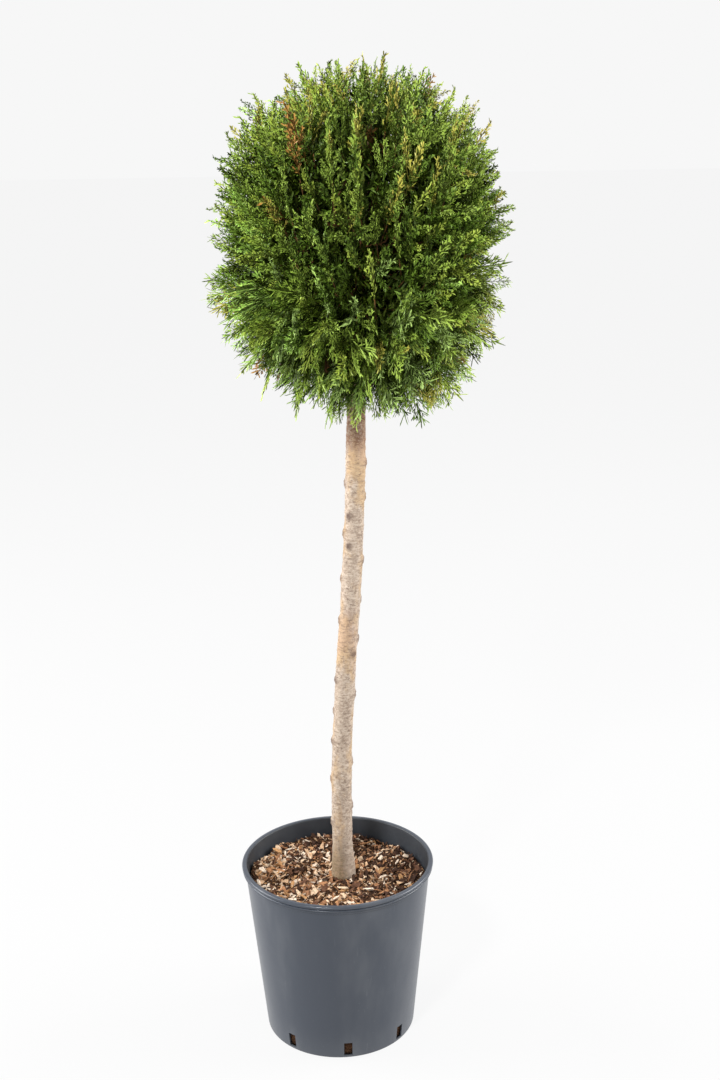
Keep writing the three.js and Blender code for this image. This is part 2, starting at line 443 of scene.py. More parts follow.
pot_low, pot_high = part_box("pot")
pot_height = pot_high.z
rim_radius = (pot_high.x - pot_low.x) / 2
pot_points, _ = corners_of("pot")
pot_out = np.hypot(pot_points[:, 0], pot_points[:, 1])
foot_radius = pot_out[pot_points[:, 2] < 4 * MM].max()
neck_radius = rim_radius - NECK_IN


def arc(radius, height, roll, start, stop, steps):
    """Outline points on a rounded corner, from one angle to another."""
    angles = np.radians(np.linspace(start, stop, steps))
    return [(radius + roll * cos(a), height + roll * sin(a)) for a in angles]


def straight(first, last, shares):
    """Outline points on a straight wall, at these shares of the way."""
    return [tuple(np.array(first) * (1 - t) + np.array(last) * t) for t in shares]


lip_foot = pot_height - LIP_DROP
band_foot = lip_foot - BAND_DROP
outline = [(HUB, 0.0), (MIDWAY, 0.0)]
outline += arc(foot_radius - HEEL, HEEL, HEEL, -90, 0, 5)
outline += straight((foot_radius, HEEL), (neck_radius, band_foot), np.linspace(0.04, 1, 22))
outline += arc(neck_radius + 1.4 * MM, band_foot + 1.6 * MM, 1.0 * MM, -60, 0, 3)
outline += [(neck_radius + 1.8 * MM, lip_foot - 0.6 * MM), (neck_radius + 1.2 * MM, lip_foot + 0.6 * MM)]
outline += arc(rim_radius - 2.2 * MM, lip_foot + 1.4 * MM, 1.3 * MM, -70, 80, 6)
outline += [(rim_radius - 2.9 * MM, lip_foot + 3.4 * MM)]
outline += arc(rim_radius - RIM_ROLL, pot_height - RIM_ROLL, RIM_ROLL, -50, 90, 9)
outline += arc(neck_radius, pot_height - WALL, WALL, 90, 180, 5)
inner_foot = foot_radius - WALL
outline += straight(outline[-1], (inner_foot, POT_FLOOR + 2 * MM), np.linspace(0.05, 1, 16))
outline += [(inner_foot - 2 * MM, POT_FLOOR), (MIDWAY, POT_FLOOR), (HUB, POT_FLOOR)]

pot_skin = [point for radius, height in outline for point in level_ring(radius, height, POT_SIDES)]
pot_faces = capped_faces(len(outline), POT_SIDES)
pot = make_piece("pot_shell", pot_skin, pot_faces, [plastic])
print("pot rim", round(2 * rim_radius, 4), "height", round(pot_height, 4), len(pot_faces), "faces")

# %% Cut the drain slots
SLOT_COUNT, SLOT_FIRST = 8, radians(-84)
SLOT_DEEP, SLOT_WIDTH = 20 * MM, 13 * MM
SLOT_LOW, SLOT_HIGH = 5 * MM, 28 * MM
SHARP_EDGE = radians(38)
# A face leans inwards when its normal looks at the pot's axis at least this squarely.
LOOKS_IN = -0.5

cutter = bmesh.new()
for index in range(SLOT_COUNT):
    turn = Matrix.Rotation(SLOT_FIRST + index * FULL_TURN / SLOT_COUNT, 4, "Z")
    middle = Matrix.Translation((foot_radius, 0, (SLOT_LOW + SLOT_HIGH) / 2))
    size = Matrix.Diagonal((SLOT_DEEP, SLOT_WIDTH, SLOT_HIGH - SLOT_LOW, 1))
    bmesh.ops.create_cube(cutter, size=1, matrix=turn @ middle @ size)
slot_mesh = bpy.data.meshes.new("slot_cutter")
cutter.to_mesh(slot_mesh)
cutter.free()
slots = show("slot_cutter", slot_mesh)
cut = pot.modifiers.new("drain_slots", "BOOLEAN")
cut.object = slots
cut.operation = "DIFFERENCE"
cut.solver = "EXACT"
settle(pot)
bpy.data.objects.remove(slots)
pot.data.shade_smooth()
pot.data.set_sharp_from_angle(angle=SHARP_EDGE)
# Faces that look in towards the axis take the darker inside plastic, partly painted shade.
pot.data.materials.append(damp_shaded_plastic.material)
for face in pot.data.polygons:
    outward_lean = face.normal.x * face.center.x + face.normal.y * face.center.y
    face.material_index = int(outward_lean < LOOKS_IN * hypot(face.center.x, face.center.y))
print("pot with slots", len(pot.data.polygons), "faces")

# %% [markdown]
# ## Geometry Nodes
# Bark chips and leaf sprays are the same few shapes, set out thousands of times. That is a job
# for Geometry Nodes: a tree with named dials takes points, puts a shape from a box of shapes on
# each, turns them into real mesh and gives them their finish.


# %% Start a tree with dials
class Recipe(Wiring):
    """A Geometry Nodes tree in the making."""

    def __init__(self, name):
        super().__init__(bpy.data.node_groups.new(name, "GeometryNodeTree"))
        for way in ("INPUT", "OUTPUT"):
            self.tree.interface.new_socket("Geometry", in_out=way, socket_type="NodeSocketGeometry")
        self.inlet = self.tree.nodes.new("NodeGroupInput")
        self.outlet = self.tree.nodes.new("NodeGroupOutput")
        self.start = Reading(self, self.inlet.outputs["Geometry"])

    def dial(self, name, kind, value=None):
        """A named input of the tree."""
        socket = self.tree.interface.new_socket(name, in_out="INPUT", socket_type="NodeSocket" + kind)
        if value is not None:
            socket.default_value = value
        return Reading(self, self.inlet.outputs[name])

    def named(self, name, kind):
        """A value stored on each point."""
        return self.add("GeometryNodeInputNamedAttribute", {"data_type": kind}, {"Name": name})

    def random(self, kind, low, high, seed, salt):
        """A random value for each point."""
        node = self.tree.nodes.new("FunctionNodeRandomValue")
        node.data_type = kind
        live = {socket.name: socket for socket in node.inputs if socket.enabled}
        for name, value in (("Min", low), ("Max", high), ("Seed", seed + salt)):
            self.connect(value, live[name])
        return Reading(self, next(socket for socket in node.outputs if socket.enabled))

    def finish_each(self, points, shapes, pick, turn, size, finishes, kind_of, tips=None):
        """Shapes on points, realized, with the finish whose number each point holds."""
        inputs = {"Collection": shapes, "Separate Children": True, "Reset Children": True}
        box = self.add("GeometryNodeCollectionInfo", inputs=inputs)
        join = self.tree.nodes.new("GeometryNodeJoinGeometry")
        equal = {"data_type": "INT", "operation": "EQUAL"}
        inputs = {"Instance": box, "Pick Instance": True, "Instance Index": pick}
        inputs |= {"Rotation": turn, "Scale": size}
        for number, finish in enumerate(finishes):
            same = self.add("FunctionNodeCompare", equal, {2: kind_of, 3: number})
            inputs["Points"] = self.add("GeometryNodeSeparateGeometry", inputs=[points, same])
            placed = self.add("GeometryNodeInstanceOnPoints", inputs=inputs)
            real = self.add("GeometryNodeRealizeInstances", inputs=[placed])
            worn = self.add("GeometryNodeSetMaterial", inputs={0: real, "Material": finish.material})
            if tips:
                tip = {"Selection": self.named("tip", "BOOLEAN"), "Material": tips[number].material}
                worn = self.add("GeometryNodeSetMaterial", inputs={0: worn} | tip)
            self.tree.links.new(worn.socket, join.inputs[0])
        self.tree.links.new(join.outputs[0], self.outlet.inputs["Geometry"])


# %% Keep a box of shapes, and run a tree
def box_of_shapes(name, meshes):
    """A collection of template objects, which never shows."""
    box = bpy.data.collections.new(name)
    for index, mesh in enumerate(meshes):
        box.objects.link(bpy.data.objects.new(f"{name}_{index:02d}", mesh))
    return box


def clear_box(box):
    for template in list(box.objects):
        mesh = template.data
        bpy.data.objects.remove(template)
        bpy.data.meshes.remove(mesh)
    bpy.data.collections.remove(box)


def use_recipe(piece, recipe, **dials):
    """Runs a tree on a piece with its dials set, and keeps the result as plain mesh."""
    modifier = piece.modifiers.new(recipe.tree.name, "NODES")
    modifier.node_group = recipe.tree
    for socket in recipe.tree.interface.items_tree:
        key = socket.name.lower().replace(" ", "_")
        if socket.in_out == "INPUT" and key in dials:
            modifier[socket.identifier] = dials[key]
    return settle(piece)


# %% [markdown]
# ## Compost
# The pot is filled to a finger's width below the rim with shredded bark. A bed of fine crumbs
# follows the model's surface, and chips from crumbs to thumbnail size lie over it any way up.

# %% Mix the bark of the compost
crumbs = Finish("compost_crumbs", (0.08, 0.04, 0.02), 0.95)
crumb_tone = crumbs.grain(420.0, 6, 0.75)
crumbs.set("Base Color", crumbs.ramp(crumb_tone, [
    (0.34, (0.008, 0.004, 0.002)),
    (0.5, (0.045, 0.02, 0.01)),
    (0.66, (0.16, 0.085, 0.04)),
]))
crumbs.set("Specular IOR Level", 0.15)
crumbs.relief(crumb_tone, 1.6 * MM)

# From the dampest to the driest.
CHIP_TONES = {
    "chip_wet": (0.045, 0.02, 0.011),
    "chip_dark": (0.12, 0.055, 0.03),
    "chip_brown": (0.25, 0.12, 0.058),
    "chip_russet": (0.38, 0.185, 0.088),
    "chip_amber": (0.46, 0.25, 0.11),
    "chip_tan": (0.54, 0.35, 0.21),
    "chip_buff": (0.63, 0.46, 0.31),
    "chip_pale": (0.74, 0.61, 0.48),
}


def chip_finish(name, tone):
    """Split bark or wood: streaks along the chip and a dull face."""
    finish = Finish(name, tone, 0.85)
    streak = finish.grain(260.0, 4, 0.7, stretch=(1, 1, 1))
    dark = tuple(0.55 * c for c in tone)
    light = tuple(min(1, 1.25 * c + 0.01) for c in tone)
    finish.set("Base Color", finish.ramp(streak, [(0.36, dark), (0.5, tone), (0.66, light)]))
    finish.set("Roughness", 0.75 + 0.2 * streak)
    finish.set("Specular IOR Level", 0.2)
    finish.relief(finish.grain(900.0, 3), 0.35 * MM)
    return finish


chip_finishes = [chip_finish(name, tone) for name, tone in CHIP_TONES.items()]
print(len(chip_finishes), "chip finishes from", *list(CHIP_TONES)[::7])

# %% Fill the pot
BED_SIDES = 150
BED_RINGS = 46
BED_SHOULDER = 0.247
BED_SINK, BED_GAP, BED_ROUGH = 2 * MM, 1.2 * MM, 0.5 * MM
# Scale and rise of the crumbly lumps and of the broad heaps.
LUMP_SCALE, LUMP_RISE = 95, 2.2 * MM
HEAP_SCALE, HEAP_RISE = 38, 4.5 * MM

bed_points, bed_faces = corners_of("compost")
bed_tree = BVHTree.FromPolygons(bed_points.tolist(), bed_faces.tolist())
bed_out = np.hypot(bed_points[:, 0], bed_points[:, 1])
bed_floor = bed_points[:, 2].min()
bed_edge = bed_out.max() - BED_GAP
bed_foot = bed_out[bed_points[:, 2] < bed_floor + MM].max() - BED_GAP


def bed_height(x, y):
    """The compost's surface in the model, with crumbly lumps."""
    hit = bed_tree.ray_cast(Vector((x, y, 1.0)), Vector((0, 0, -1)))[0]
    lumps = noise.fractal(Vector((x, y, 0)) * LUMP_SCALE, 0.9, 2.1, 4)
    heaps = noise.noise(Vector((x, y, 0.3)) * HEAP_SCALE)
    return (hit.z if hit else BED_SHOULDER) - BED_SINK + LUMP_RISE * lumps + HEAP_RISE * heaps


def bed_wall(angle, height):
    """How far the bed's side stands out, pressed into the pot."""
    return BED_ROUGH * noise.noise(Vector((cos(angle) * 30, sin(angle) * 30, height * 220)))


bed_skin = level_ring(HUB, bed_floor, BED_SIDES) + level_ring(bed_foot, bed_floor, BED_SIDES)
for t in np.linspace(0.04, 0.97, 14):
    radius = bed_foot + (bed_edge - bed_foot) * t
    bed_skin += level_ring(radius, bed_floor + (BED_SHOULDER - bed_floor) * t, BED_SIDES, bed_wall)
for radius in np.linspace(bed_edge - 0.3 * MM, 1.5 * MM, BED_RINGS):
    bed_skin += [(x, y, bed_height(x, y)) for x, y, _ in level_ring(radius, 0, BED_SIDES)]
bed_skin_faces = capped_faces(len(bed_skin) // BED_SIDES, BED_SIDES)
bed = make_piece("compost_bed", bed_skin, bed_skin_faces, [crumbs])
print("compost bed", len(bed_skin_faces), "faces, edge radius", round(bed_edge, 4))

# %% Break some chips
CHIP_SHAPES = 12
CHIP_CORNERS = 12
# Ranges of width and of thickness for a chip one unit long: a shred, then a flake.
CHIP_HABITS = (((0.14, 0.34), (0.08, 0.2)), ((0.4, 0.9), (0.12, 0.34)))


def break_chip(seed):
    """A flat splinter: the hull of a few points in a long thin box, one unit long."""
    dice = random.Random(seed)
    width, thick = (dice.uniform(*span) for span in CHIP_HABITS[seed % 2])
    chip = bmesh.new()
    for _ in range(CHIP_CORNERS):
        along = dice.uniform(-0.5, 0.5)
        taper = 1 - 0.5 * abs(along)
        across = dice.uniform(-0.5, 0.5) * width * taper
        chip.verts.new((along, across, dice.uniform(-0.5, 0.5) * thick))
    hull = bmesh.ops.convex_hull(chip, input=chip.verts)
    loose = [v for v in hull["geom_interior"] if isinstance(v, bmesh.types.BMVert)]
    bmesh.ops.delete(chip, geom=loose, context="VERTS")
    mesh = bpy.data.meshes.new("chip")
    chip.to_mesh(mesh)
    chip.free()
    return mesh


chip_box = box_of_shapes("chip_shapes", [break_chip(seed) for seed in range(CHIP_SHAPES)])

# %% Scatter the chips
# The first line sets the painted shade that darkens chips to the right and the back; the second sets real
# damp patches and an even share; the third sets how light chips are where nothing darkens them, and how
# fast they darken.
SHADE_RIGHT, SHADE_BACK = 5.0, 4.0
DAMP_PATCH, SHADE_AND_DAMP_EVEN = 3.2, 0.3
LIGHTEST_POWER, SHADE_AND_DAMP_FALL = 0.88, 1.7
# Chips lie only where the bed looks up, most are small, and near the wall they are smaller.
LOOKS_UP, SMALL_POWER, WALL_SHARE = 0.3, 2.8, 1.9
WALL_MARGIN = 2.5 * MM
SINK, RISE = -0.5 * MM, 4.5 * MM

scatter = Recipe("scatter_chips")
chip_shapes = scatter.dial("Shapes", "Collection")
chips_per_area = scatter.dial("Chips per area", "Float", 64000.0)
chip_least = scatter.dial("Least length", "Float", 4 * MM)
chip_most = scatter.dial("Most length", "Float", 21 * MM)
chip_tilt = scatter.dial("Tilt", "Float", 0.8)
chip_seed = scatter.dial("Seed", "Int", 5)
facing = scatter.add("GeometryNodeInputNormal")
upward = scatter.part(facing, "Z")
here = scatter.add("GeometryNodeInputPosition")
flat_here = scatter.add("ShaderNodeVectorMath", {"operation": "MULTIPLY"}, [here, (1, 1, 0)])
from_middle = scatter.add("ShaderNodeVectorMath", {"operation": "LENGTH"}, [flat_here], output="Value")
clear_of_wall = {0: from_middle, 1: bed_edge - WALL_MARGIN}
off_wall = scatter.add("FunctionNodeCompare", {"operation": "LESS_THAN"}, clear_of_wall)
is_top = scatter.add("FunctionNodeCompare", {"operation": "GREATER_THAN"}, {0: upward, 1: LOOKS_UP})
on_top = scatter.add("FunctionNodeBooleanMath", {"operation": "AND"}, [off_wall, is_top])
strew = {"Mesh": scatter.start, "Selection": on_top, "Density": chips_per_area, "Seed": chip_seed}
strewn = scatter.add("GeometryNodeDistributePointsOnFaces", inputs=strew)
lift = scatter.random("FLOAT", SINK, RISE, chip_seed, 1)
up = scatter.add("ShaderNodeCombineXYZ", inputs={"Z": lift})
raised = scatter.add("GeometryNodeSetPosition", inputs={"Geometry": strewn, "Offset": up})
turns = [scatter.random("FLOAT", -1.0, 1.0, chip_seed, salt) * chip_tilt for salt in (2, 3)]
turns.append(scatter.random("FLOAT", 0.0, FULL_TURN, chip_seed, 4))
chip_turn = scatter.add("ShaderNodeCombineXYZ", inputs=turns)
chance = scatter.random("FLOAT", 0.0, 1.0, chip_seed, 5)
chip_size = chip_least + (chip_most - chip_least) * chance**SMALL_POWER
to_wall = (bed_edge - from_middle) * WALL_SHARE
chip_size = scatter.add("ShaderNodeMath", {"operation": "MINIMUM"}, [chip_size, to_wall])
# Chips are darker to the right and the back, a painted shade, and darker in damp patches; in front they are
# lighter.
dot, shade_way = {"operation": "DOT_PRODUCT"}, (SHADE_RIGHT, SHADE_BACK, 0)
right_back = scatter.add("ShaderNodeVectorMath", dot, [here, shade_way], output="Value")
patch = scatter.add("ShaderNodeTexNoise", inputs={"Scale": 34.0, "Detail": 2.0}, output=0)
shade_and_damp = scatter.add("ShaderNodeClamp", inputs=[right_back + (patch - 0.5) * DAMP_PATCH + SHADE_AND_DAMP_EVEN])
chip_lightness = scatter.random("FLOAT", 0.0, 0.999, chip_seed, 7) ** (LIGHTEST_POWER + shade_and_damp * SHADE_AND_DAMP_FALL)
tone_step = chip_lightness * float(len(chip_finishes))
chip_tone = scatter.add("FunctionNodeFloatToInt", {"rounding_mode": "FLOOR"}, [tone_step])
chip_pick = scatter.random("INT", 0, CHIP_SHAPES - 1, chip_seed, 6)
scatter.finish_each(raised, chip_shapes, chip_pick, chip_turn, chip_size, chip_finishes, chip_tone)
chips = show("compost_chips", bed.data.copy())
use_recipe(chips, scatter, shapes=chip_box, seed=5)
clear_box(chip_box)
print("compost chips", len(chips.data.polygons), "faces")

# %% [markdown]
# ## Bark
# The stem's bark is thin and fibrous, buff where the old skin has rubbed off and orange where it
# is fresh, greyer at the foot and browner under the leaves, which is partly painted shade of the
# crown. The hollows of its relief get painted shade. Where shoots were pruned off, it has
# healed into small dark eyes with a raised lip. The relief is real mesh: rings of points follow
# the model's stem, and each point is pushed in or out.

# %% Mix the bark
bark = Finish("stem_bark", (0.56, 0.43, 0.33), 0.85)
papery = bark.grain(60.0, 6, 0.8, stretch=(1, 1, 1.2))
fine = bark.grain(210.0, 5, 0.8, stretch=(0.9, 0.9, 1.5))
wrinkles = bark.grain(190.0, 4, 0.75, stretch=(0.45, 0.45, 2.4))
pits = bark.step(bark.grain(260.0, 3, 0.7), 0.58, 0.66)
warm = bark.step(bark.grain(30.0, 4, 0.6, stretch=(1, 1, 0.45)), 0.46, 0.62)
rosy = bark.step(bark.grain(22.0, 3, 0.5, stretch=(1, 1, 0.6)), 0.52, 0.7)
eye = bark.add("ShaderNodeAttribute", {"attribute_name": "scar"}, output="Fac")
hollow = bark.add("ShaderNodeAttribute", {"attribute_name": "hollow"}, output="Fac")
skin = bark.ramp(papery * 0.35 + fine * 0.65, [
    (0.4, (0.21, 0.155, 0.115)),
    (0.48, (0.39, 0.305, 0.235)),
    (0.58, (0.52, 0.43, 0.345)),
])
low_down = 1 - bark.step(bark.height(), 0.26, 0.34)
from_left = fine * 0.02 + stem_at(0.27)[0] - bark.part(bark.place(), "X")
mossy = low_down * bark.step(from_left, 0.002, 0.014)
high_up = bark.step(bark.height(), 0.935, 0.96)
# Stains over the bare bark, one on another, with some painted shade: how much of each, and its colour.
for share, stain in (
    (warm * 0.6, (0.46, 0.29, 0.125)),
    (rosy * 0.35, (0.44, 0.28, 0.21)),
    (bark.step(wrinkles, 0.54, 0.62) * 0.65, (0.15, 0.1, 0.07)),
    (pits * 0.65, (0.11, 0.07, 0.05)),
    (low_down * 0.3, (0.3, 0.23, 0.17)),
    (mossy * (0.25 + 0.6 * bark.step(fine, 0.42, 0.58)), (0.16, 0.115, 0.055)),
    # Browner just under the crown: partly browner bark, partly painted shade of the crown.
    (high_up * (0.15 + 0.8 * bark.step(fine, 0.44, 0.54)), (0.17, 0.075, 0.035)),
    # Painted shade in the hollows of the relief.
    (hollow * 0.3, (0.2, 0.135, 0.09)),
    (eye * (0.65 + 0.35 * bark.step(fine, 0.42, 0.56)), (0.07, 0.035, 0.028)),
):
    skin = bark.blend(share, skin, stain)
bark.set("Base Color", skin)
bark.set("Roughness", 0.72 + 0.2 * papery)
bark.relief(fine * 0.6 + wrinkles * 0.4, 0.6 * MM)

rusty_bark = Finish("twig_bark", (0.22, 0.1, 0.045), 0.8)
twig_tone = rusty_bark.grain(150.0, 3)
rusty_bark.set("Base Color", rusty_bark.ramp(twig_tone, [
    (0.35, (0.035, 0.019, 0.008)),
    (0.55, (0.1, 0.05, 0.018)),
    (0.7, (0.22, 0.1, 0.03)),
]))
rusty_bark.set("Specular IOR Level", 0.15)
rusty_bark.relief(rusty_bark.grain(700.0, 3), 0.2 * MM)
print("finishes", bark.material.name, rusty_bark.material.name)


# %% Carry rings of points along a limb
def frames_along(path):
    """Two level directions across the path at each of its points, without twist."""
    along = np.gradient(path, axis=0)
    along /= norm(along, axis=1)[:, None]
    side = np.cross(along[0], [0.0, 1.0, 0.0])
    if norm(side) < 0.1:
        side = np.cross(along[0], [1.0, 0.0, 0.0])
    sides, deeps = [], []
    for way in along:
        side = side - way * side.dot(way)
        side = side / norm(side)
        sides.append(side)
        deeps.append(np.cross(way, side))
    return np.array(sides), np.array(deeps)


def limb_skin(path, radii, count, relief=None):
    """Points round a path, ring by ring, pushed out by relief(point, way out, ring)."""
    sides, deeps = frames_along(path)
    points = []
    for ring, (centre, radius) in enumerate(zip(path, radii)):
        for angle in np.arange(count) * FULL_TURN / count:
            way = cos(angle) * sides[ring] + sin(angle) * deeps[ring]
            push = relief(centre + way * radius, way, ring) if relief else 0.0
            points.append(centre + way * (radius + push))
    return points


# %% Raise the stem
STEM_SIDES = 84
CLEAR_STEP = 1.9 * MM
HIDDEN_STEP = 9 * MM
# Layers of relief, as depth, scale across, scale along and shift: fibres, flakes and lumps.
RELIEF = [(0.55 * MM, 260, 330, 0), (0.6 * MM, 120, 130, 7), (1.1 * MM, 45, 22, 3)]

# Pruned shoots: height of each above the floor and the way it faced, in degrees.
PRUNED = [
    (0.345, 186), (0.372, -2), (0.418, 184), (0.447, 6), (0.483, 190), (0.532, 178), (0.560, -4),
    (0.585, 200), (0.629, -50), (0.650, 2), (0.680, 186), (0.712, 4), (0.747, 182), (0.775, -6),
    (0.800, -118), (0.817, 184), (0.846, -125), (0.873, 2), (0.893, 181), (0.925, -8),
    (0.600, 84), (0.710, 102), (0.455, 70), (0.850, 96), (0.520, 110), (0.770, 66),
]
EYE_RADIUS, EYE_RISE, EYE_SINK = 3.4 * MM, 3.4 * MM, 0.75
# How wide the lip, the pit and the dark of an eye spread, in its radii.
LIP_SPREAD, PIT_SPREAD, DARK_SPREAD = 1.35, 0.5, 1.3

stem_foot, stem_tip = stem_rings[0][0], stem_rings[0][-1]
leaf_line = crown_low[2] + 0.03
stem_heights = np.concatenate([
    np.arange(stem_foot, leaf_line, CLEAR_STEP),
    np.arange(leaf_line, stem_tip, HIDDEN_STEP),
    [stem_tip],
])
stem_path = np.array([stem_at(z) for z in stem_heights])
stem_radii = np.array([stem_radius(z) for z in stem_heights])
eyes = [(height, radians(way)) for height, way in PRUNED]
scar_shade, hollow_shade = [], []


def bark_relief(point, way, ring):
    """How far the bark stands out from the limb's plain round."""
    x, y, z = point
    waves = [noise.noise(Vector((x * wide, y * wide, z * tall + shift))) for _, wide, tall, shift in RELIEF]
    push = sum(layer[0] * wave for layer, wave in zip(RELIEF, waves))
    scar = 0.0
    angle = atan2(way[1], way[0])
    radius = stem_radius(z)
    for height, faced in eyes:
        if abs(z - height) > 4 * EYE_RADIUS:
            continue
        across = remainder(angle - faced, FULL_TURN) * radius
        off = hypot(across, 0.8 * (z - height)) / EYE_RADIUS
        lip, pit, dark = (exp(-((off / s) ** 2)) for s in (LIP_SPREAD, PIT_SPREAD, DARK_SPREAD))
        push += EYE_RISE * (lip - EYE_SINK * pit)
        scar = max(scar, dark)
    scar_shade.append(scar)
    # How deep each point lies in a hollow of the relief, for the painted shade the bark puts there.
    hollow_shade.append(min(1.0, max(0.0, -1.6 * waves[0] - 0.9 * waves[1])))
    return push if 0 < ring < len(stem_heights) - 1 else 0.0


stem_skin = limb_skin(stem_path, stem_radii, STEM_SIDES, bark_relief)
stem_piece = make_piece("stem_bark", stem_skin, capped_faces(len(stem_path), STEM_SIDES), [bark])
store(stem_piece.data, "scar", "FLOAT", scar_shade)
store(stem_piece.data, "hollow", "FLOAT", hollow_shade)
print("stem", len(stem_skin), "points, from", round(stem_foot, 3), "to", round(stem_tip, 3))

# %% [markdown]
# ## Boughs
# Each bough of the model starts at the stem and ends where its leaves begin. The mesh bough
# follows it, sinks its heel into the stem's bark, and hands its end point and direction on to
# the branches, which grow from there.

# %% Grow the boughs
BOUGH_SIDES = 20
BOUGH_RINGS = 26
# A bough thins to about half at its end, swells at its heel and hangs a little.
BOUGH_THICK = {"lower": 7.2 * MM, "upper": 6.2 * MM}
BOUGH_TAPER, BOUGH_HEEL, BOUGH_SAG, BOUGH_ROUGH = 0.52, 2.5 * MM, 0.08, 0.5 * MM


def bough_ends(node):
    """The two ends of a bough, the one nearest the stem first."""
    points = np.unique(np.round(corners_of(node)[0], 5), axis=0)
    from_stem = np.array([norm(p[:2] - stem_at(p[2])[:2]) for p in points])
    near = points[from_stem < from_stem.min() + 5 * MM]
    far = points[from_stem > from_stem.max() - 5 * MM]
    return near.mean(0), far.mean(0)


def small_bark(point, way, ring):
    """Finer relief for a thin limb."""
    return sum(BOUGH_ROUGH * noise.noise(Vector(point) * scale) for scale in (260, 90))


bough_tips = {}
bough_pieces = []
for node in boughs:
    near, far = bough_ends(node)
    root = stem_at(near[2] - 4 * MM)
    reach = norm(far - root)
    ways = np.linspace(0, 1, BOUGH_RINGS)[:, None]
    sag = np.array([0, 0, -BOUGH_SAG * reach]) * np.sin(np.pi * ways)
    path = root + (far - root) * ways + sag
    thick = BOUGH_THICK[node.split("_")[1]]
    radii = thick * (1 - BOUGH_TAPER * ways[:, 0]) + BOUGH_HEEL * np.exp(-ways[:, 0] * 9)
    skin_points = limb_skin(path, radii, BOUGH_SIDES, small_bark)
    piece = make_piece(node + "_bark", skin_points, capped_faces(BOUGH_RINGS, BOUGH_SIDES), [bark])
    bough_tips[node.replace("bough_", "foliage_")] = (far, path[-1] - path[-4], radii[-1])
    bough_pieces.append((node, piece))
print(len(bough_pieces), "boughs of", BOUGH_RINGS, "rings")

# %% [markdown]
# ## Leaf sprays
# This conifer has no needles. Its leaves are scales pressed along the twigs, and the twigs fork
# again and again in one plane, so each spray is a flat fan. A spray here is a list of short
# blades: beads along the axis, beads along each side shoot and a row of small shoots off those.
# Every blade is a long kite with a raised ridge, four faces in all, so a whole fan costs a few
# hundred.

# %% Choose the habits of the sprays
# A fan is a broad flat spray of the skirt. A plume is a narrow upright one of the top, with its
# shoots turned out of the plane. A filler is a coarse spray for the shade inside. Angles are in
# degrees, and a pair is a range to draw from.
# The last entry of each habit is the chance that a blade takes the lighter tip green: partly younger
# leaves, partly painted light.
HABITS = {
    "fan": {
        "length": 78 * MM, "shoots": 13, "reach": 0.56, "wide": 42, "close": 24, "bead": 10 * MM,
        "fork": (9 * MM, 18 * MM), "fork_angle": (18, 32), "roll": 8, "tilt": 12, "blade": 1.55 * MM,
        "bend": (0.2, 0.9), "forked": 0.97, "young_and_lit": 0.76,
    },
    "plume": {
        "length": 70 * MM, "shoots": 15, "reach": 0.36, "wide": 36, "close": 20, "bead": 6.5 * MM,
        "fork": (4 * MM, 8.5 * MM), "fork_angle": (24, 42), "roll": 34, "tilt": 30, "blade": 1.45 * MM,
        "bend": (-0.3, 0.5), "forked": 0.95, "young_and_lit": 0.76,
    },
    "filler": {
        "length": 76 * MM, "shoots": 9, "reach": 0.5, "wide": 56, "close": 30, "bead": 15 * MM,
        "fork": (12 * MM, 18 * MM), "fork_angle": (28, 44), "roll": 26, "tilt": 24, "blade": 3.4 * MM,
        "bend": (-0.6, 0.8), "forked": 0.8, "young_and_lit": 0.3,
    },
}
BLADE_ROLL = 0.5
BLADE_RIDGE = 0.4
# How far along a blade its two pairs of side corners sit, and how wide it is there.
BLADE_SWELL = ((0.16, 0.8), (0.76, 1.0))
# Corners of its faces: 0 and 1 are its base and end, and then come the two pairs.
BLADE_FACES = ((0, 2, 4), (0, 4, 1), (0, 1, 5), (0, 5, 3))
SHORTEST_SHOOT = 6 * MM
SHOOT_SPREAD = (0.78, 1.15)
SHOOT_LEAN = (6, 20)
print("spray habits", list(HABITS))


